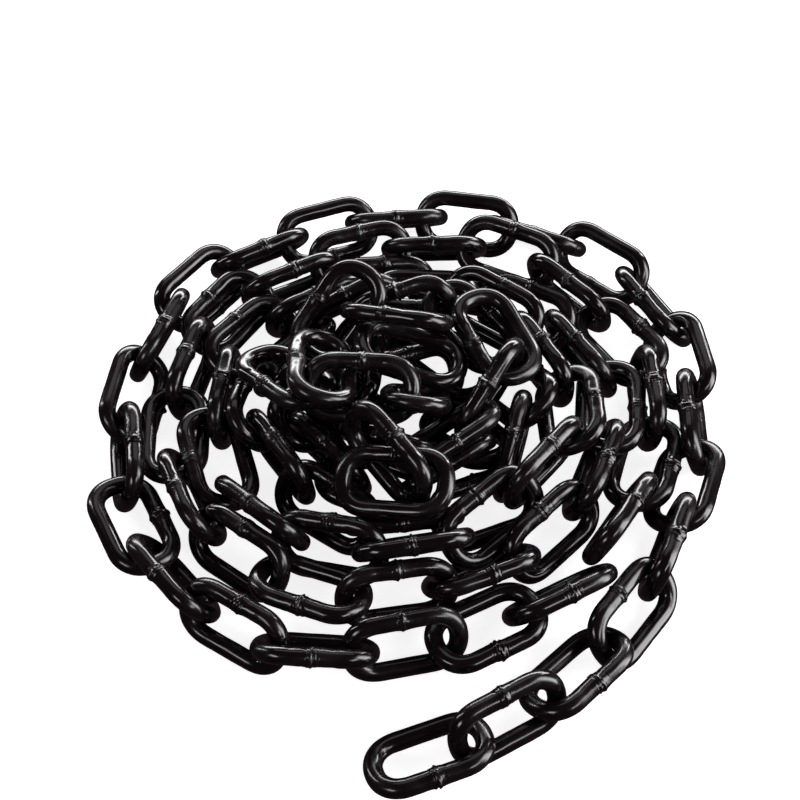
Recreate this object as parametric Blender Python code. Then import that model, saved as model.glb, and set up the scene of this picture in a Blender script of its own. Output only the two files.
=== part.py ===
"""A heap of heavy-duty welded chain, laid down as a loose flat coil with one end led out.

The chain is one run of like steel links.  Every link is a bar bent to a stadium and butt welded,
and each one passes through the next.  Lengths are metres, +Z is up and the chain lies on z = 0.

The free end and the first turn are laid link by link, each at a place and a lean chosen by hand.  The
other links are stepped one pitch apart along a route chosen by hand, turn by turn inwards, leaning
left and right in turn as a slack chain does, and hung above the floor.  Then the whole run is
lowered, and wherever two bars come too close both links are moved and turned apart, until nothing
touches.
"""
import bpy
import numpy as np

MM = 0.001

# The link: outside length and width, and the round bar it is bent from, over its enamel
LINK_LENGTH = 45 * MM
LINK_WIDTH = 27 * MM
BAR = 6.6 * MM

# The bar is drawn with eight flat sides, which hold as much steel as the round bar
BAR_SIDES = 8
SIDE_ANGLE = 2 * np.pi / BAR_SIDES
BAR_CORNER_RADIUS = BAR / 2 * np.sqrt(2 * np.pi / (BAR_SIDES * np.sin(SIDE_ANGLE)))
BAR_FLAT_RADIUS = BAR_CORNER_RADIUS * np.cos(SIDE_ANGLE / 2)
HALF_LENGTH = LINK_LENGTH / 2 - BAR_FLAT_RADIUS
HALF_WIDTH = LINK_WIDTH / 2 - BAR_FLAT_RADIUS

# Two bars lie at least this far apart, middle to middle, and two linked ones at most LINKED more
GAP = 0.3 * MM
CLEAR = 2 * BAR_CORNER_RADIUS + GAP
LINKED = 0.1 * MM
PITCH = 2 * HALF_LENGTH - CLEAR
FLOOR = BAR_CORNER_RADIUS + 0.1 * MM

# How many links there are, and how high the inner turns are hung before they are lowered
LINK_COUNT = 97
TURN_RISES = np.array([0, 18, 34, 50, 70, 98, 126, 150]) * MM

# The inner links lean by their place round the coil's middle: so much, more or less, by a swing
MEAN_LEAN = np.radians(12)
LEAN_SWING = np.radians(54)
COIL_MIDDLE = (2 * MM, -9.5 * MM)

# Easing the links apart: passes of each stage, pull back to where and how each was laid, and drop in
# each pass.  The pull fades to nothing at the inner end, and the heights feel it in the outer links
# alone.  The drop is OUTER_FALL of itself at the free end
LOWER = dict(passes=900, pull=0.02, drop=0.008)
SETTLE = dict(passes=900, pull=0.08, drop=0.006)
PART = dict(passes=2500, pull=0.0, drop=0.0)
OUTER_FALL = 0.1
SPIN_RADIUS = 12.25 * MM
SHARE_POWER = 0.3
CLOSE_ENOUGH = 0.03 * MM
NEAR_LINKS = LINK_LENGTH + 11 * MM
PASSES_PER_SEARCH = 10
CURVE_STEPS = 40
LEVEL_BARS = 1e-6

# Nodes: the free end and the outer turns are single links, the inner ones are runs of three
SINGLE_LINKS = 40
RUN_LENGTH = 3
BEAD_WIDTH = 2.4 * MM
BEAD_SINK = 1.0 * MM

# The enamel's look, and the angle past which two faces meet in an edge
ENAMEL = (0.012, 0.012, 0.013, 1)
ENAMEL_ROUGHNESS = 0.28
EDGE_ANGLE = np.radians(50)

# The free end and the first turn, link by link from the free end on: the place of its middle over
# the floor in millimetres, and its lean in degrees, above zero where the inner leg is the higher
OUTER_LINKS = [
    (8, -149, -21), (35, -139.5, 66), (59.5, -120.5, -29), (80, -98.5, 55), (95, -72.5, -70),
    (103, -44.5, -22), (111.5, -15.5, 74), (109.5, 14, -39), (102, 43, 41), (84, 66, -50), (57, 82, 50),
    (28, 89, -50), (-2, 91, 50), (-31.5, 84.5, -42), (-59.5, 71, 55), (-84, 52.5, -30), (-98, 26, 70),
    (-104, -3, -42), (-101.5, -32, 76), (-97.5, -60, -30), (-81, -85, -52), (-58.5, -104.5, 64),
    (-30, -113, -53), (0, -111.5, 68), (30, -102, -13), (55.5, -89.5, -57),
]

# The route of the other turns in millimetres, seen from above, turn by turn inwards
TURN_2 = [
    (69, -82), (85, -59), (93, -32), (94, -1), (84, 29), (66, 53), (38, 68), (8, 74), (-22, 70),
    (-46, 57), (-68, 38), (-85, 14), (-89, -16), (-84, -46), (-70, -71), (-46, -88), (-18, -95),
    (12, -91), (38, -80),
]
TURN_3 = [
    (63, -64), (78, -39), (81, -9), (74, 19), (56, 41), (28, 54), (-2, 56), (-30, 48), (-55, 30),
    (-70, 6), (-74, -22), (-66, -49), (-49, -69), (-22, -79), (8, -77), (34, -66),
]
TURN_4 = [
    (56, -48), (68, -23), (67, 5), (54, 29), (30, 42), (2, 43), (-25, 36), (-46, 19), (-58, -6),
    (-58, -31), (-47, -52), (-24, -63), (4, -63), (28, -53),
]
TURN_5 = [
    (46, -38), (55, -14), (50, 10), (32, 28), (6, 32), (-20, 26), (-38, 8), (-45, -16), (-38, -38),
    (-20, -52), (4, -52),
]
TURN_6 = [(26, -44), (40, -24), (36, 2), (16, 18), (-10, 16), (-30, 0), (-34, -24), (-18, -44)]
TURN_7 = [
    (8, -48), (34, -32), (42, -4), (26, 20), (-2, 26), (-30, 18), (-42, -8), (-26, -32), (0, -26),
    (14, -4),
]
TURN_8 = [(-14, 6), (-36, -12), (-26, -36), (0, -44), (22, -40)]
ROUTE = [TURN_2, TURN_3, TURN_4, TURN_5, TURN_6, TURN_7, TURN_8]


def unit(vectors):
    """Each vector at length one."""
    return vectors / np.linalg.norm(vectors, axis=-1, keepdims=True)


def dot(first, second):
    """The dot product of each pair of vectors."""
    return np.einsum("...k,...k->...", first, second)


def route():
    """The inner turns' points with the heights that they are hung at, one turn above the last."""
    rows = []
    for number, turn in enumerate(ROUTE):
        for place, (x, y) in enumerate(turn):
            rise = np.interp(number + place / len(turn), range(len(TURN_RISES)), TURN_RISES)
            rows.append((x * MM, y * MM, rise))
    return np.array(rows)


def smooth_curve(points):
    """A smooth curve through the points, with CURVE_STEPS places between each two (Catmull-Rom)."""
    before = np.vstack([2 * points[0] - points[1], points, 2 * points[-1] - points[-2]])
    t = np.linspace(0, 1, CURVE_STEPS, endpoint=False)[:, None]
    spans = []
    for a, b, c, d in zip(before, before[1:], before[2:], before[3:]):
        spans.append(b + 0.5 * t * (c - a + t * (2 * a - 5 * b + 4 * c - d + t * (3 * b - a - 3 * c + d))))
    return np.vstack(spans + [points[-1:]])


def inner_links():
    """The middles of the links that follow the route, each a pitch on from the last over the floor."""
    curve = smooth_curve(route())
    crossings = [curve[0]]
    index = 0
    while len(crossings) <= LINK_COUNT - len(OUTER_LINKS):
        gap = np.linalg.norm(curve[index:, :2] - crossings[-1][:2], axis=1)
        index += np.argmax(gap >= PITCH)
        crossings.append(curve[index])
    crossings = np.array(crossings)
    return (crossings[1:] + crossings[:-1]) / 2


def inner_leans(middle, first):
    """The inner links' leans by their place round the coil; every second link is a right angle off."""
    bearing = np.arctan2(middle[:, 1] - COIL_MIDDLE[1], middle[:, 0] - COIL_MIDDLE[0])
    even = (first + np.arange(len(middle))) % 2 == 0
    return MEAN_LEAN - LEAN_SWING * np.sin(bearing) + np.where(even, np.pi / 2, 0)


def squared(frame):
    """Each frame with its axes made square again: along kept, across next, and face from both."""
    along = unit(frame[:, 0])
    across = unit(frame[:, 1] - dot(frame[:, 1], along)[:, None] * along)
    return np.stack([along, across, np.cross(along, across)], axis=1)


def laid_links():
    """Middle and frame (along, across, face) of every link before the heap is eased."""
    outer = np.array(OUTER_LINKS)
    inner = inner_links()
    lean = np.concatenate([np.radians(outer[:, 2]), inner_leans(inner, len(outer))])[:, None]
    middle = np.vstack([outer * [MM, MM, 0], inner])
    middle[:, 2:] += FLOOR + HALF_WIDTH * abs(np.sin(lean))
    flat = middle * [1, 1, 0]
    ahead = np.vstack([flat[1:], 2 * flat[-1:] - flat[-2:-1]])
    behind = np.vstack([2 * flat[:1] - flat[1:2], flat[:-1]])
    along = unit(ahead - behind)
    side = unit(np.cross([0.0, 0.0, 1.0], along))
    across = np.cos(lean) * side + np.sin(lean) * np.cross(along, side)
    return middle, np.stack([along, across, np.cross(along, across)], axis=1)


def link_corners():
    """The eight corners of a link's middle line, in its own plane: a stretched octagon."""
    end = HALF_WIDTH * np.tan(np.pi / 8)
    straight = HALF_LENGTH - HALF_WIDTH + end
    quarter = [(straight, -HALF_WIDTH), (HALF_LENGTH, -end), (HALF_LENGTH, end), (straight, HALF_WIDTH)]
    return np.array(quarter + [(-x, -y) for x, y in quarter])


CORNERS = link_corners()


def bar_lines(middle, frame):
    """Both ends of the eight straight stretches of every link's middle line."""
    along, across = frame[:, None, 0], frame[:, None, 1]
    start = middle[:, None] + CORNERS[None, :, :1] * along + CORNERS[None, :, 1:] * across
    return start, np.roll(start, -1, axis=1)


def nearest_points(start_a, end_a, start_b, end_b):
    """The nearest points of each pair of straight stretches."""
    run_a, run_b, offset = end_a - start_a, end_b - start_b, start_a - start_b
    aa, bb, ab = dot(run_a, run_a), dot(run_b, run_b), dot(run_a, run_b)
    ao, bo = dot(run_a, offset), dot(run_b, offset)
    spread = aa * bb - ab * ab
    slanted = spread > LEVEL_BARS * aa * bb
    at_a = np.where(slanted, np.clip((ab * bo - ao * bb) / np.where(slanted, spread, 1.0), 0, 1), 0.5)
    at_b = np.clip((ab * at_a + bo) / bb, 0, 1)
    at_a = np.clip((ab * at_b - ao) / aa, 0, 1)
    return start_a + run_a * at_a[:, None], start_b + run_b * at_b[:, None]


def near_links(middle):
    """Pairs of links whose middles are near enough for their bars to meet."""
    first, second = np.triu_indices(len(middle), 1)
    gap = middle[first] - middle[second]
    near = dot(gap, gap) < NEAR_LINKS ** 2
    return first[near], second[near]


def closest_places(first, second, start, end):
    """For each pair of links, the nearest points of their middle lines and how far apart they are."""
    half = np.linalg.norm(end - start, axis=2) / 2
    mid = (start + end) / 2
    gap = mid[first][:, :, None] - mid[second][:, None, :]
    reach = half[first][:, :, None] + half[second][:, None, :] + CLEAR
    pair, a, b = np.nonzero(dot(gap, gap) < reach ** 2)
    if not len(pair):
        return pair, pair, np.zeros((0, 3)), np.zeros((0, 3)), np.zeros(0)
    on_first, on_second = nearest_points(start[first[pair], a], end[first[pair], a],
                                         start[second[pair], b], end[second[pair], b])
    apart = np.linalg.norm(on_first - on_second, axis=1)
    order = np.lexsort((apart, pair))
    order = order[np.concatenate([[True], np.diff(pair[order]) > 0])]
    pair = pair[order]
    return first[pair], second[pair], on_first[order], on_second[order], apart[order]


class Moves:
    """The shifts and turns asked of every link in one pass."""

    def __init__(self, middle):
        self.middle = middle
        self.shift = np.zeros_like(middle)
        self.spin = np.zeros_like(middle)
        self.asked = np.zeros(len(middle))

    def lever(self, link, place, way):
        """How a push at `place` along `way` turns the link."""
        return np.cross(place - self.middle[link], way) / SPIN_RADIUS

    def add(self, link, way, lever, amount):
        """Adds a push of `amount` to the links."""
        np.add.at(self.shift, link, amount[:, None] * way)
        np.add.at(self.spin, link, amount[:, None] * lever / SPIN_RADIUS)
        np.add.at(self.asked, link, 1)

    def push_apart(self, first, second, on_first, on_second, apart, short):
        """Moves two links away from each other by `short`, or together where it is below zero."""
        way = (on_first - on_second) / apart[:, None]
        lever_a = self.lever(first, on_first, way)
        lever_b = self.lever(second, on_second, way)
        amount = short / (2 + dot(lever_a, lever_a) + dot(lever_b, lever_b))
        self.add(first, way, lever_a, amount)
        self.add(second, way, lever_b, -amount)

    def push_up(self, link, place, short):
        """Lifts links off the floor at `place` by `short`."""
        way = np.broadcast_to([0.0, 0.0, 1.0], place.shape)
        lever = self.lever(link, place, way)
        self.add(link, way, lever, short / (1 + dot(lever, lever)))

    def apply(self, frame):
        """The middles and frames after the moves, shared where one link was asked for several."""
        share = 1 / np.maximum(self.asked, 1)[:, None] ** SHARE_POWER
        return self.middle + self.shift * share, frame + np.cross((self.spin * share)[:, None], frame)


def ease(middle, frame, home, home_frame, passes, pull, drop):
    """Lowers the links by `drop` a pass, draws them back home and parts the bars that are too close."""
    chain = np.arange(len(middle) - 1)
    inwards = np.linspace(0, 1, len(middle))
    hold = pull * (1 - inwards[:, None])
    fall = drop * (OUTER_FALL + (1 - OUTER_FALL) * inwards)
    outer = slice(len(OUTER_LINKS))
    for number in range(passes):
        if number % PASSES_PER_SEARCH == 0:
            first, second = near_links(middle)
        start, end = bar_lines(middle, frame)
        moves = Moves(middle)
        a, b, on_a, on_b, apart = closest_places(first, second, start, end)
        short = CLEAR - apart
        tight = short > 0
        moves.push_apart(a[tight], b[tight], on_a[tight], on_b[tight], apart[tight], short[tight])
        a, b, on_a, on_b, apart = closest_places(chain, chain + 1, start, end)
        loose = apart > CLEAR + LINKED
        moves.push_apart(a[loose], b[loose], on_a[loose], on_b[loose], apart[loose],
                         CLEAR + LINKED - apart[loose])
        link, corner = np.nonzero(start[:, :, 2] < FLOOR)
        moves.push_up(link, start[link, corner], FLOOR - start[link, corner, 2])
        if not pull and not drop and short.max() < CLOSE_ENOUGH and apart.max() < CLEAR + 2 * LINKED:
            break
        middle, frame = moves.apply(frame)
        frame = squared(frame + hold[:, None] * (home_frame - frame))
        middle[:, :2] += hold * (home[:, :2] - middle[:, :2])
        middle[outer, 2] += (hold * (home - middle))[outer, 2]
        middle[:, 2] *= 1 - fall
    return middle, frame


def lay_chain():
    """Every link's middle and frame as the heap lies."""
    home, home_frame = laid_links()
    middle, frame = home, home_frame
    for stage in (LOWER, SETTLE, PART):
        middle, frame = ease(middle, frame, home, home_frame, **stage)
    return middle, frame


def link_rings():
    """The bar's corners round the link in its own axes: one mitred ring at each corner of the middle line."""
    before = unit(CORNERS - np.roll(CORNERS, 1, axis=0))
    after = unit(np.roll(CORNERS, -1, axis=0) - CORNERS)
    outward = unit(np.column_stack([(before + after)[:, 1], -(before + after)[:, 0]]))
    mitre = 1 / dot(outward, np.column_stack([after[:, 1], -after[:, 0]]))
    angle = (np.arange(BAR_SIDES) + 0.5) * SIDE_ANGLE
    out = (BAR_CORNER_RADIUS * np.cos(angle))[None, :, None] * (outward * mitre[:, None])[:, None]
    up = np.broadcast_to((BAR_CORNER_RADIUS * np.sin(angle))[None, :, None], (len(CORNERS), BAR_SIDES, 1))
    return np.concatenate([CORNERS[:, None] + out, up], axis=2).reshape(-1, 3)


def link_faces():
    """Four-sided faces between each ring and the next, all the way round the link."""
    ring, side = np.meshgrid(np.arange(len(CORNERS)), np.arange(BAR_SIDES), indexing="ij")
    next_ring, next_side = (ring + 1) % len(CORNERS), (side + 1) % BAR_SIDES
    faces = [ring * BAR_SIDES + side, next_ring * BAR_SIDES + side,
             next_ring * BAR_SIDES + next_side, ring * BAR_SIDES + next_side]
    return np.stack(faces, axis=-1).reshape(-1, 4)


def steel(name):
    """Black enamelled steel."""
    material = bpy.data.materials.new(name)
    material.use_nodes = True
    shader = material.node_tree.nodes["Principled BSDF"]
    shader.inputs["Base Color"].default_value = ENAMEL
    shader.inputs["Roughness"].default_value = ENAMEL_ROUGHNESS
    shader.inputs["Metallic"].default_value = 0.0
    return material


def new_object(name, points, faces):
    """An object from points and faces."""
    mesh = bpy.data.meshes.new(name)
    mesh.from_pydata(points.tolist(), [], faces.tolist())
    mesh.update()
    body = bpy.data.objects.new(name, mesh)
    bpy.context.scene.collection.objects.link(body)
    return body


def links_object(name, links):
    """The links of one node as closed bars, `links` being their points."""
    faces = link_faces()
    points_each = links.shape[1]
    body = new_object(name, links.reshape(-1, 3),
                      np.concatenate([faces + number * points_each for number in range(len(links))]))
    body.data.materials.append(steel(name))
    body.data.shade_smooth()
    body.data.set_sharp_from_angle(angle=EDGE_ANGLE)
    return body


def bead(top, bottom, frame):
    """A short square stud from inside one bar to inside the bar that it bears on."""
    way = unit(top - bottom)
    side = unit(np.cross(way, frame[np.argmin(abs(frame @ way))]))
    turn = np.cross(way, side)
    ring = [side + turn, turn - side, -side - turn, side - turn]
    ends = (bottom - way * BEAD_SINK, top + way * BEAD_SINK)
    return np.array([end + corner * BEAD_WIDTH / 2 for end in ends for corner in ring])


BEAD_FACES = np.array([(3, 2, 1, 0), (4, 5, 6, 7), (0, 1, 5, 4), (1, 2, 6, 5), (2, 3, 7, 6), (3, 0, 4, 7)])


def join_run(body, middle, frame):
    """Joins the links of a run into one solid where each bears on the next."""
    start, end = bar_lines(middle, frame)
    chain = np.arange(len(middle) - 1)
    _, _, tops, bottoms, _ = closest_places(chain, chain + 1, start, end)
    studs = [bead(top, bottom, axes) for top, bottom, axes in zip(tops, bottoms, frame)]
    count = len(BEAD_FACES) + 2
    faces = np.concatenate([BEAD_FACES + number * count for number in range(len(studs))])
    cutter = new_object(body.name + "_beads", np.concatenate(studs), faces)
    cutter.hide_render = True
    cutter.display_type = "WIRE"
    joined = body.modifiers.new("beads", "BOOLEAN")
    joined.operation = "UNION"
    joined.solver = "EXACT"
    joined.object = cutter


def main():
    """Builds the heap."""
    for old in list(bpy.data.objects):
        bpy.data.objects.remove(old)
    middle, frame = lay_chain()
    points = middle[:, None] + link_rings()[None] @ frame
    low, high = points.min(axis=(0, 1)), points.max(axis=(0, 1))
    origin = np.array([(low[0] + high[0]) / 2, (low[1] + high[1]) / 2, low[2]])
    points = points - origin
    middle = middle - origin
    for number in range(SINGLE_LINKS):
        links_object(f"link_{number + 1:03d}", points[number:number + 1])
    for first in range(SINGLE_LINKS, len(middle), RUN_LENGTH):
        last = min(first + RUN_LENGTH, len(middle))
        body = links_object(f"links_{first + 1:03d}_to_{last:03d}", points[first:last])
        join_run(body, middle[first:last], frame[first:last])


main()
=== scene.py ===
"""The looks of a heap of heavy-duty chain: welded steel links under black enamel, as a loose flat coil.

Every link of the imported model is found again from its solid, and gets a smooth bar in its place: a
stadium bent from round bar, with the collar of its butt weld midway along one leg, the marks of the
welding clamps beside it and the thick enamel over all.  Lengths are metres and +Z is up.
"""
from __future__ import annotations

import logging
from dataclasses import dataclass, field
from enum import Enum

import bpy
import numpy as np
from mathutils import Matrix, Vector


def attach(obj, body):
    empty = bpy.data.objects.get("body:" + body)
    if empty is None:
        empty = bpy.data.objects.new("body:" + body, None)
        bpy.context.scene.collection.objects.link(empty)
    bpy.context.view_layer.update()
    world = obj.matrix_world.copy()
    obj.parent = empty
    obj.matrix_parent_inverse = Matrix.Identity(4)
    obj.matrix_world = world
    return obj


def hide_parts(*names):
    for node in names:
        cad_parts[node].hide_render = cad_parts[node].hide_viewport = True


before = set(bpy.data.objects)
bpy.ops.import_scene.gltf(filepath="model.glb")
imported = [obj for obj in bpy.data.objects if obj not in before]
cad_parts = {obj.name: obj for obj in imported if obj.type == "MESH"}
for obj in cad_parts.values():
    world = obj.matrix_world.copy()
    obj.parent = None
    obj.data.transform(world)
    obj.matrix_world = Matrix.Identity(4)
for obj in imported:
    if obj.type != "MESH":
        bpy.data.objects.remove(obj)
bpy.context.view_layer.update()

BODY = "root"
MM = 0.001
FIRST_SEED = 1000

# The Mix node's colour sockets by number, because its other kinds of mix use the same names
MIX_FIRST, MIX_SECOND, MIX_RESULT = 6, 7, 2

log = logging.getLogger("chain")


def unit(vectors: np.ndarray) -> np.ndarray:
    """Return each vector at length one."""
    return vectors / np.linalg.norm(vectors, axis=-1, keepdims=True)


def bell(distance: np.ndarray, width: float) -> np.ndarray:
    """Return a smooth hump of height one: e to the power of minus (distance over width) squared."""
    return np.exp(-((distance / width) ** 2))


def ramp(low: float, high: float, value: np.ndarray) -> np.ndarray:
    """Return a smooth step from nought at `low` to one at `high`: 3 t squared less 2 t cubed."""
    t = np.clip((value - low) / (high - low), 0, 1)
    return t * t * (3 - 2 * t)


class WeldedLeg(Enum):
    """Which of a link's two straight legs carries the weld."""

    HIGH = (0.0, 0.0, 1.0)
    FRONT = (0.0, -1.0, 0.15)
    BACK = (0.0, 1.0, 0.15)
    RIGHT = (1.0, 0.0, 0.15)
    LEFT = (-1.0, 0.0, 0.15)


# Links whose weld isn't on the higher leg, numbered from the free end; all others have it there
WELDED_LEGS = {
    1: WeldedLeg.FRONT, 2: WeldedLeg.BACK, 3: WeldedLeg.FRONT, 4: WeldedLeg.LEFT, 6: WeldedLeg.LEFT,
    8: WeldedLeg.LEFT, 10: WeldedLeg.FRONT, 12: WeldedLeg.FRONT, 14: WeldedLeg.FRONT, 16: WeldedLeg.FRONT,
    18: WeldedLeg.RIGHT, 20: WeldedLeg.RIGHT, 22: WeldedLeg.BACK, 24: WeldedLeg.BACK, 25: WeldedLeg.FRONT,
}


@dataclass(frozen=True)
class LinkSize:
    """The real size of one link over its enamel.

    The middle line of the bar is a stadium a little squarer than two half circles.
    """

    length: float = 45 * MM
    width: float = 27 * MM
    bar: float = 6.6 * MM
    squareness: float = 2.25

    @property
    def radius(self) -> float:
        """Return the bar's radius."""
        return self.bar / 2

    @property
    def half_length(self) -> float:
        """Return the reach of the middle line along the link."""
        return self.length / 2 - self.radius

    @property
    def half_width(self) -> float:
        """Return the reach of the middle line across the link."""
        return self.width / 2 - self.radius

    @property
    def half_leg(self) -> float:
        """Return half the length of a straight leg."""
        return self.half_length - self.half_width


@dataclass
class FoundLink:
    """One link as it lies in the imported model.

    Its axes are rows: along the link, across it from leg to leg, and out of its plane.
    """

    node: str
    middle: np.ndarray
    axes: np.ndarray
    number: int = 0


@dataclass
class LinkFinder:
    """Finds the links inside a node's solid from its corners alone.

    A link is its own mirror image through its middle, so its middle is the point halfway between
    many pairs of corners.  The beads that join a run of links have no such twins.  Halfway points
    are counted in small cells first, and then within a still smaller distance of the best guess.
    """

    cell: float = 0.05 * MM
    same: float = 0.02 * MM
    least_votes: int = 8
    least_pairs: int = 28
    apart: float = 1 * MM

    def corners(self, node: str) -> np.ndarray:
        """Return the different corners of a node's solid.

        Args:
            node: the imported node's name.

        Returns:
            One row of x, y, z for each corner.
        """
        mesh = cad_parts[node].data
        places = np.zeros(len(mesh.vertices) * 3, np.float32)
        mesh.vertices.foreach_get("co", places)
        return np.unique(places.reshape(-1, 3), axis=0).astype(float)

    def middles(self, corners: np.ndarray) -> list[np.ndarray]:
        """Return the points that most corners have a twin across.

        Args:
            corners: the corners of one solid.

        Returns:
            The middle of each link in the solid.
        """
        first, second = np.triu_indices(len(corners), 1)
        halfway = (corners[first] + corners[second]) / 2
        cells = np.round(halfway / self.cell).astype(np.int64)
        _, cell_of, votes = np.unique(cells, axis=0, return_inverse=True, return_counts=True)
        found: list[np.ndarray] = []
        for cell in np.nonzero(votes >= self.least_votes)[0]:
            guess = halfway[cell_of.ravel() == cell].mean(axis=0)
            near = np.linalg.norm(halfway - guess, axis=1) < self.same
            if near.sum() < self.least_pairs:
                continue
            guess = halfway[near].mean(axis=0)
            if all(np.linalg.norm(guess - other) > self.apart for other in found):
                found.append(guess)
        return found

    def links(self, node: str) -> list[FoundLink]:
        """Return the links of a node with their axes.

        The corners that have a twin across the middle belong to the link, and their spread is
        widest along it, less across it and least out of its plane.

        Args:
            node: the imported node's name.

        Returns:
            The node's links in no special order.
        """
        corners = self.corners(node)
        found = []
        for middle in self.middles(corners):
            twins = 2 * middle - corners
            gap = np.linalg.norm(corners[:, None] - twins[None], axis=2).min(axis=0)
            own = corners[gap < self.same] - middle
            along, across = np.linalg.svd(own, full_matrices=False)[2][:2]
            found.append(FoundLink(node, middle, np.stack([along, across, np.cross(along, across)])))
        return found


@dataclass(frozen=True)
class WeldShape:
    """The collar of a butt weld and the marks of the clamps that held the bar.

    Heights stand out from the bar, and places run along the leg from the weld.  A range is the least
    and the most that a link's own draw scales a height or a place by.  A slope is where a smooth step
    starts and ends.  An evenness is the share of a ragged line that is the same all round the bar.
    Angles are radians.
    """

    stray: float = 0.8 * MM
    swell: float = 0.28 * MM
    swell_width: float = 2.0 * MM
    swell_range: tuple = (0.6, 1.5)
    flash: float = 0.72 * MM
    flash_width: float = 0.5 * MM
    flash_range: tuple = (0.25, 1.3)
    flash_evenness: float = 0.55
    flash_waves: int = 9
    wander: float = 0.45 * MM
    wander_waves: int = 5
    ring: float = 0.34 * MM
    ring_place: float = 1.5 * MM
    ring_place_range: tuple = (0.8, 1.3)
    ring_width: float = 0.34 * MM
    ring_range: tuple = (-0.5, 1.3)
    ring_evenness: float = 0.4
    ring_waves: int = 6
    ring_wander: float = 0.5
    pit: float = 0.54 * MM
    pit_slope: tuple = (0.5, 1.6)
    pit_reach: float = 2.8 * MM
    pit_spacing: float = 1.3 * MM
    lump: float = 0.162 * MM
    lump_slope: tuple = (0.6, 1.8)
    nub: float = 0.95 * MM
    nub_width: float = 0.6 * MM
    nub_angle: float = 0.4
    nub_stray: float = 0.4 * MM
    clamp: float = 0.16 * MM
    clamp_range: tuple = (0.2, 1.0)
    clamp_place: float = 7.2 * MM
    clamp_width: float = 1.5 * MM
    clamp_slope: tuple = (0.75, 1.0)
    clamp_turn: float = 0.3
    offset: float = 0.2 * MM
    offset_reach: float = 7 * MM
    crust_reach: float = 2.4 * MM
    crust_evenness: float = 0.75


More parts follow.
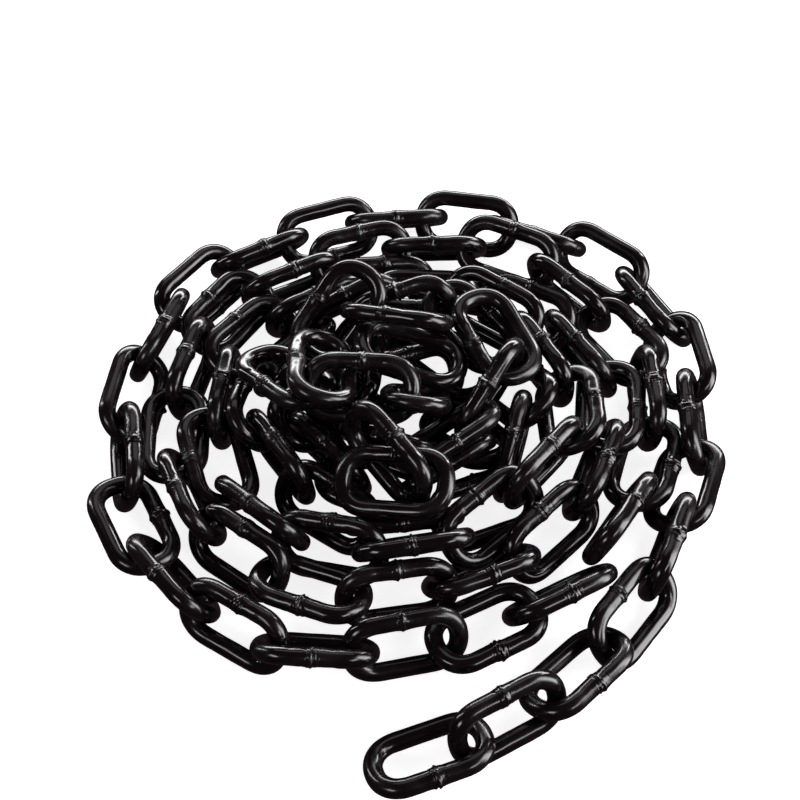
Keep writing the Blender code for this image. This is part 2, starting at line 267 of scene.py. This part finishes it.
@dataclass
class LinkSkin:
    """Works out the smooth surface of a link, ring by ring round its middle line.

    Point(s, a) = middle line(s) + radius(s, a) x (cos a x outward(s) + sin a x face), where s is the
    way round the link, a the angle round the bar, and the radius is the bar's own with the weld's
    swell, flash, pits and clamp marks added, a slow waver of the bar, and the enamel that has run
    together inside the bends.
    """

    size: LinkSize = field(default_factory=LinkSize)
    weld: WeldShape = field(default_factory=WeldShape)
    sides: int = 32
    weld_step: float = 0.27 * MM
    weld_reach: float = 4.6 * MM
    clamp_step: float = 0.75 * MM
    plain_step: float = 1.7 * MM
    bend_steps: int = 26
    waver: float = 0.035 * MM
    waver_length: float = 14 * MM
    thick_bend: float = 0.1 * MM
    wave_weights: tuple = (0.3, 1.0)
    blotch_waves: int = 14
    blotch_turns: int = 6

    def leg_places(self) -> np.ndarray:
        """Return the places of the rings along the welded leg.

        Returns:
            Places from the leg's middle, close together at the weld and wider apart beyond it.
        """
        fine = np.arange(-self.weld_reach, self.weld_reach + self.weld_step / 2, self.weld_step)
        rest = np.arange(self.weld_reach, self.size.half_leg, self.clamp_step)[1:]
        return np.concatenate([-rest[::-1], fine, rest])

    def middle_line(self) -> tuple[np.ndarray, np.ndarray, np.ndarray]:
        """Return the middle line of the bar round the link, the welded leg first.

        A bend at angle t is half_width x (|cos t| to the power 2/n, |sin t| to the power 2/n), with n
        the squareness, moved out by half a leg; the legs join the bends.

        Returns:
            The points as x, y in the link's plane, their outward directions, and each point's place
            along the welded leg, which is far out of reach off that leg.
        """
        leg = self.leg_places()
        plain = np.arange(-self.size.half_leg + self.plain_step / 2, self.size.half_leg, self.plain_step)
        t = np.linspace(-np.pi / 2, np.pi / 2, self.bend_steps)
        power = 2 / self.size.squareness
        bend = self.size.half_width * np.column_stack([
            abs(np.cos(t)) ** power, np.sign(np.sin(t)) * abs(np.sin(t)) ** power])
        right = bend[::-1] + [self.size.half_leg, 0]
        points = np.concatenate([
            np.column_stack([leg, np.full_like(leg, self.size.half_width)]),
            right,
            np.column_stack([-plain, np.full_like(plain, -self.size.half_width)]),
            -right,
        ])
        ahead = np.roll(points, -1, axis=0) - np.roll(points, 1, axis=0)
        outward = unit(np.column_stack([-ahead[:, 1], ahead[:, 0]]))
        on_leg = np.full(len(points), self.size.length)
        on_leg[:len(leg)] = leg
        return points, outward, on_leg

    def ragged(self, seed: np.random.Generator, angle: np.ndarray, waves: int) -> np.ndarray:
        """Return an uneven line round the bar: a sum of cosines of random phase and weight.

        Args:
            seed: the link's own random numbers.
            angle: angle of each side.
            waves: how many cosines, the last with as many crests round the bar.

        Returns:
            One value for each side, between minus one and one.
        """
        count = np.arange(1, waves + 1)
        weight = seed.uniform(*self.wave_weights, waves) / np.sqrt(count)
        phase = seed.uniform(0, 2 * np.pi, waves)
        return (weight * np.cos(np.outer(angle, count) + phase)).sum(axis=1) / weight.sum()

    def blotches(self, seed: np.random.Generator, place: np.ndarray, angle: np.ndarray,
                 scale: float) -> np.ndarray:
        """Return smooth random humps over the bar's surface, most of them less than one high.

        A sum of plane waves over (place, angle): each has a random pitch along the bar near `scale`
        and a whole number of waves round it, so that it meets itself.

        Args:
            seed: the link's own random numbers.
            place: way along the bar of each ring.
            angle: angle of each side.
            scale: length of a typical hump.

        Returns:
            One row for each ring and one column for each side.
        """
        pitch = seed.normal(0, 2 * np.pi / scale, self.blotch_waves)
        turns = seed.integers(-self.blotch_turns, self.blotch_turns + 1, self.blotch_waves)
        phase = seed.uniform(0, 2 * np.pi, self.blotch_waves)
        bumps = np.cos(place[:, None, None] * pitch + angle[None, :, None] * turns + phase)
        return bumps.sum(axis=2) / np.sqrt(self.blotch_waves)

    def collar(self, seed: np.random.Generator, place: np.ndarray, angle: np.ndarray) -> np.ndarray:
        """Return the height of the weld's collar.

        The sum of the swell, the ragged flash line that wanders along the bar, and a lower ring at
        each side of it, which some links lack.

        Args:
            seed: the link's own random numbers.
            place: place of each ring from the weld, as a column.
            angle: angle of each side.

        Returns:
            One row for each ring and one column for each side.
        """
        w = self.weld
        wander = w.wander * self.ragged(seed, angle, w.wander_waves)[None]
        uneven = (1 - w.flash_evenness) * self.ragged(seed, angle, w.flash_waves)[None]
        flash = seed.uniform(*w.flash_range) * w.flash * (w.flash_evenness + uneven)
        height = seed.uniform(*w.swell_range) * w.swell * bell(place, w.swell_width)
        height = height + flash * bell(place - wander, w.flash_width)
        for end in (-1, 1):
            uneven = (1 - w.ring_evenness) * self.ragged(seed, angle, w.ring_waves)[None]
            middle = end * w.ring_place * seed.uniform(*w.ring_place_range) + w.ring_wander * wander
            strength = max(seed.uniform(*w.ring_range), 0) * np.clip(w.ring_evenness + uneven, 0, 1)
            height = height + strength * w.ring * bell(place - middle, w.ring_width)
        return height

    def spatter(self, seed: np.random.Generator, place: np.ndarray, angle: np.ndarray,
                rough: np.ndarray) -> np.ndarray:
        """Return the height of the weld's lumps and its nub, less its pits.

        Pits lie where the blotches are high, and lumps where they are low.

        Args:
            seed: the link's own random numbers.
            place: place of each ring from the weld, as a column.
            angle: angle of each side.
            rough: the blotches at each ring and side.

        Returns:
            One row for each ring and one column for each side.
        """
        w = self.weld
        lumps = w.lump * ramp(*w.lump_slope, -rough) - w.pit * ramp(*w.pit_slope, rough)
        turn = np.angle(np.exp(1j * (angle - seed.uniform(0, 2 * np.pi))))[None]
        spot = place - seed.uniform(-1, 1) * w.nub_stray
        nub = seed.uniform(0, 1) * w.nub * bell(spot, w.nub_width) * bell(turn, w.nub_angle)
        return lumps * bell(place, w.pit_reach) + nub

    def clamp_marks(self, seed: np.random.Generator, place: np.ndarray, angle: np.ndarray) -> np.ndarray:
        """Return how deep the clamps have pressed the bar, as a height below nought.

        Each end's clamp leaves two flats on opposite sides of the bar.

        Args:
            seed: the link's own random numbers.
            place: place of each ring from the weld, as a column.
            angle: angle of each side.

        Returns:
            One row for each ring and one column for each side.
        """
        w = self.weld
        height = np.zeros((len(place), len(angle)))
        for end in (-1, 1):
            facing = abs(np.sin(angle + seed.uniform(-1, 1) * w.clamp_turn))[None]
            mark = bell(place - end * w.clamp_place, w.clamp_width) * ramp(*w.clamp_slope, facing)
            height = height - seed.uniform(*w.clamp_range) * w.clamp * mark
        return height

    def end_step(self, seed: np.random.Generator, place: np.ndarray, angle: np.ndarray) -> np.ndarray:
        """Return the small step where the bar's two ends don't quite meet.

        Each end is moved aside, one way before the weld and the other way after it.

        Args:
            seed: the link's own random numbers.
            place: place of each ring from the weld, as a column.
            angle: angle of each side.

        Returns:
            One row for each ring and one column for each side.
        """
        w = self.weld
        aside = np.cos(angle - seed.uniform(0, 2 * np.pi))[None] * np.tanh(place / w.flash_width)
        return seed.uniform(0, 1) * w.offset * aside * bell(place, w.offset_reach)

    def relief(self, seed: np.random.Generator, on_leg: np.ndarray, way: np.ndarray,
               angle: np.ndarray) -> tuple[np.ndarray, np.ndarray]:
        """Return how far the surface stands out from the round bar, and how much of it is weld.

        The height is the sum of the collar, its spatter, the clamp marks, the step between the bar's
        ends and the bar's waver.

        Args:
            seed: the link's own random numbers.
            on_leg: place of each ring along the welded leg, from the leg's middle.
            way: way of each ring round the whole link.
            angle: angle of each side.

        Returns:
            The height over the bar and the weld's share, one row a ring and one column a side.
        """
        w = self.weld
        place = (on_leg - seed.uniform(-1, 1) * w.stray)[:, None]
        height = self.collar(seed, place, angle)
        rough = self.blotches(seed, on_leg, angle, w.pit_spacing)
        height = height + self.spatter(seed, place, angle, rough)
        height = height + self.clamp_marks(seed, place, angle)
        height = height + self.end_step(seed, place, angle)
        height = height + self.waver * self.blotches(seed, way, angle, self.waver_length)
        crust = w.crust_evenness + (1 - w.crust_evenness) * rough
        return height, np.clip(bell(place, w.crust_reach) * crust, 0, 1)

    def surface(self, link: FoundLink) -> tuple[np.ndarray, np.ndarray]:
        """Return a link's surface where it lies.

        Args:
            link: the link's place, axes and number.

        Returns:
            The points and the weld's share at each, one row a ring and one column a side.
        """
        seed = np.random.default_rng(FIRST_SEED + link.number)
        points, outward, on_leg = self.middle_line()
        angle = np.arange(self.sides) * 2 * np.pi / self.sides
        step = np.linalg.norm(np.diff(points, axis=0, prepend=points[-1:]), axis=1)
        way = np.cumsum(step) - step[0]
        height, share = self.relief(seed, on_leg, way, angle)
        bent = ramp(self.size.half_leg, self.size.half_length, abs(points[:, 0]))[:, None]
        inner = np.clip(-np.cos(angle), 0, 1)[None]
        reach = self.size.radius + height + self.thick_bend * bent * inner
        flat = points[:, None] + (reach * np.cos(angle))[..., None] * outward[:, None]
        up = reach * np.sin(angle)
        own = np.concatenate([flat, up[..., None]], axis=2)
        return link.middle + own @ link.axes, share


def grid_faces(rings: int, sides: int) -> np.ndarray:
    """Return four-sided faces over a grid that closes on itself both ways.

    Args:
        rings: number of rows.
        sides: number of columns.

    Returns:
        Four point numbers for each face, turning so that the face looks out of the bar.
    """
    ring, side = np.meshgrid(np.arange(rings), np.arange(sides), indexing="ij")
    next_ring, next_side = (ring + 1) % rings, (side + 1) % sides
    faces = [ring * sides + side, ring * sides + next_side,
             next_ring * sides + next_side, next_ring * sides + side]
    return np.stack(faces, axis=-1).reshape(-1, 4)


@dataclass(frozen=True)
class Grain:
    """A noise pattern: its patches a metre, its finer layers and how strong they are."""

    scale: float
    detail: float
    rough: float = 0.55


class Wire:
    """A socket of a shader that can be reckoned with: each operator adds the Math node it names."""

    def __init__(self, maker: Shading, socket: bpy.types.NodeSocket) -> None:
        """Wrap a socket of `maker`'s shader."""
        self.maker = maker
        self.socket = socket

    def math(self, operation: str, *others: Wire | float) -> Wire:
        """Return the named Math operation on this value and the others."""
        return self.maker.add("ShaderNodeMath", {"operation": operation}, [self, *others])

    def __add__(self, other: Wire | float) -> Wire:
        """Return the sum."""
        return self.math("ADD", other)

    __radd__ = __add__

    def __mul__(self, other: Wire | float) -> Wire:
        """Return the product."""
        return self.math("MULTIPLY", other)

    __rmul__ = __mul__

    def __sub__(self, other: Wire | float) -> Wire:
        """Return this less the other."""
        return self.math("SUBTRACT", other)

    def __rsub__(self, other: float) -> Wire:
        """Return the other less this."""
        return self.maker.add("ShaderNodeMath", {"operation": "SUBTRACT"}, [other, self])

    def ramp(self, low: float, high: float) -> Wire:
        """Return a smooth step from nought at `low` to one at `high`."""
        return self.maker.add("ShaderNodeMapRange", {"interpolation_type": "SMOOTHSTEP"},
                              {"Value": self, "From Min": low, "From Max": high})


class Shading:
    """Builds one material's nodes."""

    def __init__(self, name: str) -> None:
        """Start a material with its Principled shader."""
        self.material = bpy.data.materials.new(name)
        self.material.use_nodes = True
        self.tree = self.material.node_tree
        self.shader = self.tree.nodes["Principled BSDF"]

    def add(self, kind: str, settings: dict | None = None, values: dict | list | None = None,
            output: str | int = 0) -> Wire:
        """Add any node.

        Args:
            kind: the node's type.
            settings: its own settings, which are set first.
            values: numbers, colours or wires for its sockets, by name or in order.
            output: name or number of the output that is wanted.

        Returns:
            The wanted output.
        """
        node = self.tree.nodes.new(kind)
        for key, value in (settings or {}).items():
            setattr(node, key, value)
        pairs = values.items() if isinstance(values, dict) else enumerate(values or [])
        for key, value in pairs:
            self.feed(node.inputs[key], value)
        return Wire(self, node.outputs[output])

    def feed(self, socket: bpy.types.NodeSocket, value: Wire | float | tuple) -> None:
        """Link a wire to a socket, or set the socket's own value.

        Args:
            socket: the input socket.
            value: the wire, number or colour that it gets.
        """
        if isinstance(value, Wire):
            self.tree.links.new(value.socket, socket)
        else:
            socket.default_value = value

    def noise(self, where: Wire, grain: Grain) -> Wire:
        """Return a noise over the places `where`."""
        return self.add("ShaderNodeTexNoise", {"noise_dimensions": "3D"}, {
            "Vector": where, "Scale": grain.scale, "Detail": grain.detail, "Roughness": grain.rough}, "Fac")

    def blend(self, share: Wire, first: Wire | tuple, second: Wire | tuple) -> Wire:
        """Return a colour between two colours, `share` of the way to the second."""
        return self.add("ShaderNodeMix", {"data_type": "RGBA"},
                        {"Factor": share, MIX_FIRST: first, MIX_SECOND: second}, MIX_RESULT)

    def dress(self, **sockets: Wire | float | tuple) -> None:
        """Set or link sockets of the Principled shader, spaces written as underscores."""
        for name, value in sockets.items():
            self.feed(self.shader.inputs[name.replace("_", " ")], value)


@dataclass(frozen=True)
class Enamel:
    """Thick black enamel dipped over steel, with the bright steel that flash and knocks have bared.

    An edge is where a pattern starts to show and where it shows in full.  A height is a pattern's
    share of the relief.
    """

    black: tuple = (0.0046, 0.0027, 0.0034, 1.0)
    worn: tuple = (0.01, 0.0073, 0.0083, 1.0)
    bare: tuple = (0.42, 0.40, 0.38, 1.0)
    sheen: float = 0.14
    dull: float = 0.28
    coat: float = 0.4
    coat_roughness: float = 0.06
    steel_roughness: float = 0.38
    index: float = 1.5
    film: Grain = Grain(75, 4.0)
    film_height: float = 0.35
    worn_edge: tuple = (0.42, 0.72)
    dull_edge: tuple = (0.35, 0.7)
    peel: Grain = Grain(420, 3.0)
    peel_height: float = 0.12
    dust: Grain = Grain(1400, 2.0)
    dust_height: float = 0.02
    dust_edge: tuple = (0.45, 0.8)
    dust_dullness: float = 0.05
    crust: Grain = Grain(1500, 4.0, 0.7)
    crust_height: float = 0.16
    crust_dullness: float = 0.06
    fleck: Grain = Grain(2600, 3.0, 0.6)
    fleck_edge: tuple = (0.66, 0.71)
    weld_edge: tuple = (0.35, 0.8)
    knock: Grain = Grain(520, 2.0)
    knock_edge: tuple = (0.745, 0.765)
    thin_edge: tuple = (0.5, 0.62)
    relief_strength: float = 0.5
    relief_depth: float = 0.3 * MM

    def material(self) -> bpy.types.Material:
        """Make the enamel, which reads the piece's weld attribute and Object places.

        Returns:
            The new material.
        """
        shading = Shading("black_enamel")
        where = shading.add("ShaderNodeTexCoord", output="Object")
        weld = shading.add("ShaderNodeAttribute", {"attribute_name": "weld"}, output="Fac")
        film = shading.noise(where, self.film)
        dust = shading.noise(where, self.dust)
        flecks = shading.noise(where, self.fleck).ramp(*self.fleck_edge) * weld.ramp(*self.weld_edge)
        knocks = shading.noise(where, self.knock).ramp(*self.knock_edge) * film.ramp(*self.thin_edge)
        bare = flecks.math("MAXIMUM", knocks)
        colour = shading.blend(film.ramp(*self.worn_edge), self.black, self.worn)
        dullness = (self.sheen + film.ramp(*self.dull_edge) * (self.dull - self.sheen)
                    + dust.ramp(*self.dust_edge) * self.dust_dullness + weld * self.crust_dullness)
        rough = dullness + bare * (self.steel_roughness - self.dull)
        relief = (film * self.film_height + shading.noise(where, self.peel) * self.peel_height
                  + dust * self.dust_height
                  + weld * shading.noise(where, self.crust) * self.crust_height)
        bump = shading.add("ShaderNodeBump", {}, {
            "Strength": self.relief_strength, "Distance": self.relief_depth, "Height": relief})
        shading.dress(Base_Color=shading.blend(bare, colour, self.bare), Roughness=rough, Metallic=bare,
                      Coat_Weight=(1 - bare) * self.coat, Coat_Roughness=self.coat_roughness,
                      IOR=self.index, Normal=bump)
        return shading.material


@dataclass
class ChainHeap:
    """The heap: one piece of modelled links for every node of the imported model."""

    skin: LinkSkin = field(default_factory=LinkSkin)
    finder: LinkFinder = field(default_factory=LinkFinder)
    enamel: Enamel = field(default_factory=Enamel)

    def find_links(self) -> list[FoundLink]:
        """Return every link, numbered from the free end inwards.

        The nodes' names follow the chain.  Within a node the next link is the one nearest to the
        last link found.

        Returns:
            The links in the order of the chain.
        """
        links: list[FoundLink] = []
        for node in sorted(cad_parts, key=lambda name: int(name.split("_")[1])):
            left = self.finder.links(node)
            while left:
                last = links[-1].middle if links else left[0].middle
                left.sort(key=lambda link: np.linalg.norm(link.middle - last))
                links.append(left.pop(0))
        for number, link in enumerate(links, 1):
            link.number = number
            self.turn_weld(link)
        return links

    def turn_weld(self, link: FoundLink) -> None:
        """Turn a link's axes half round where the leg with the weld would be the wrong one.

        Args:
            link: the link, with its number.
        """
        wanted = WELDED_LEGS.get(link.number, WeldedLeg.HIGH).value
        if link.axes[1] @ np.array(wanted) < 0:
            link.axes = link.axes * [[-1], [-1], [1]]

    def piece(self, node: str, links: list[FoundLink], material: bpy.types.Material) -> bpy.types.Object:
        """Build the smooth links of one node as one piece.

        Args:
            node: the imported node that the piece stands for.
            links: the node's links.
            material: the enamel.

        Returns:
            The new object, at the origin with its place in its mesh.
        """
        surfaces = [self.skin.surface(link) for link in links]
        rings, sides = surfaces[0][1].shape
        faces = grid_faces(rings, sides)
        points = np.concatenate([points.reshape(-1, 3) for points, _ in surfaces])
        mesh = bpy.data.meshes.new(f"{node}_steel")
        mesh.from_pydata(points, [], np.concatenate(
            [faces + number * rings * sides for number in range(len(links))]))
        mesh.update()
        mesh.shade_smooth()
        weld = mesh.attributes.new("weld", "FLOAT", "POINT")
        weld.data.foreach_set("value", np.concatenate([share.ravel() for _, share in surfaces]))
        mesh.materials.append(material)
        body = bpy.data.objects.new(f"{node}_steel", mesh)
        bpy.context.scene.collection.objects.link(body)
        return body

    def build(self) -> None:
        """Build, dress and place every piece, each in the stead of its node."""
        material = self.enamel.material()
        links = self.find_links()
        total = 0
        for node in dict.fromkeys(link.node for link in links):
            piece = self.piece(node, [link for link in links if link.node == node], material)
            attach(piece, BODY)
            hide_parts(node)
            total += 2 * len(piece.data.polygons)
            log.info("%s stands for %s", piece.name, node)
        log.info("%d links, %d triangles", len(links), total)


@dataclass(frozen=True)
class SoftBox:
    """A soft box that faces the heap.

    Its size is its width and height, and its brightness is how bright its face looks, with one for
    white.
    """

    name: str
    place: tuple
    size: tuple
    brightness: float

    def hang(self) -> None:
        """Hang the lamp in its place, out of the camera's sight.

        Its power is 4 x area x brightness, which makes its face as bright as asked.
        """
        light = bpy.data.lights.new(self.name, "AREA")
        light.shape = "RECTANGLE"
        light.size, light.size_y = self.size
        light.energy = 4 * self.size[0] * self.size[1] * self.brightness
        lamp = bpy.data.objects.new(self.name, light)
        bpy.context.scene.collection.objects.link(lamp)
        lamp.location = self.place
        lamp.rotation_euler = (-Vector(self.place)).to_track_quat("-Z", "Y").to_euler()
        lamp.visible_camera = False


@dataclass
class Studio:
    """The pale floor, the soft lamps and the camera.

    Low boxes behind and on the right draw the long bright lines on the bars, the dim box overhead
    and the two in front the fainter second line, and the strips the short ones on the ends.  The
    lens alone is in millimetres.
    """

    eye: tuple = (-4.1 * MM, -294.6 * MM, 445.4 * MM)
    target: tuple = (-4.1 * MM, 34.9 * MM, 0.1 * MM)
    lens: float = 62.0
    nearest: float = 0.01
    floor_size: float = 12.0
    floor_drop: float = 0.05 * MM
    floor_colour: tuple = (0.8, 0.8, 0.8, 1.0)
    floor_roughness: float = 0.9
    floor_gloss: float = 0.1
    floor_light: tuple = (1.0, 1.0, 1.0, 1.0)
    floor_glow: float = 0.85
    room: tuple = (0.037, 0.024, 0.029, 1.0)
    lamps: tuple = (
        SoftBox("back_box", (0.1, 1.2, 0.36), (1.6, 0.2), 8.0),
        SoftBox("back_edge", (0.1, 1.21, 0.36), (2.1, 0.5), 1.8),
        SoftBox("top_box", (0.0, 0.72, 1.0), (1.0, 0.4), 0.5),
        SoftBox("right_box", (1.05, -0.15, 0.36), (0.4, 1.1), 3.5),
        SoftBox("right_edge", (1.06, -0.15, 0.36), (0.74, 1.45), 2.0),
        SoftBox("right_strip", (0.85, 0.85, 0.4), (0.12, 0.6), 9.0),
        SoftBox("left_front", (-0.72, -0.72, 0.78), (0.5, 0.26), 4.0),
        SoftBox("right_front", (0.72, -0.72, 0.78), (0.5, 0.26), 4.0),
        SoftBox("left_strip", (-1.05, 0.5, 0.42), (0.09, 0.7), 8.0),
    )

    def floor(self) -> None:
        """Lay a plain pale floor that glows a little and that the enamel doesn't mirror."""
        half = self.floor_size / 2
        mesh = bpy.data.meshes.new("floor")
        corners = [(-half, -half), (half, -half), (half, half), (-half, half)]
        mesh.from_pydata([(x, y, -self.floor_drop) for x, y in corners], [], [(0, 1, 2, 3)])
        floor = bpy.data.objects.new("floor", mesh)
        bpy.context.scene.collection.objects.link(floor)
        shading = Shading("pale_floor")
        shading.dress(Base_Color=self.floor_colour, Roughness=self.floor_roughness,
                      Specular_IOR_Level=self.floor_gloss, Emission_Color=self.floor_light,
                      Emission_Strength=self.floor_glow)
        mesh.materials.append(shading.material)
        floor.visible_glossy = False
        floor.visible_diffuse = False

    def dim_room(self) -> None:
        """Set the dim room that the enamel mirrors where no lamp stands."""
        world = bpy.data.worlds.new("room")
        world.use_nodes = True
        world.node_tree.nodes["Background"].inputs["Color"].default_value = self.room
        bpy.context.scene.world = world
        bpy.context.scene.view_settings.view_transform = "Standard"

    def camera(self) -> None:
        """Set the camera at the photograph's viewing angle."""
        camera = bpy.data.cameras.new("camera")
        camera.lens = self.lens
        camera.clip_start = self.nearest
        holder = bpy.data.objects.new("camera", camera)
        bpy.context.scene.collection.objects.link(holder)
        holder.location = self.eye
        holder.rotation_euler = (Vector(self.target) - Vector(self.eye)).to_track_quat("-Z", "Y").to_euler()
        bpy.context.scene.camera = holder

    def build(self) -> None:
        """Set the floor, the lamps, the dim room and the camera."""
        self.floor()
        for lamp in self.lamps:
            lamp.hang()
        self.dim_room()
        self.camera()


def main() -> None:
    """Build the heap and its studio."""
    logging.basicConfig(level=logging.INFO, format="%(message)s")
    ChainHeap().build()
    Studio().build()
    bpy.context.view_layer.update()


if __name__ == "__main__":
    main()
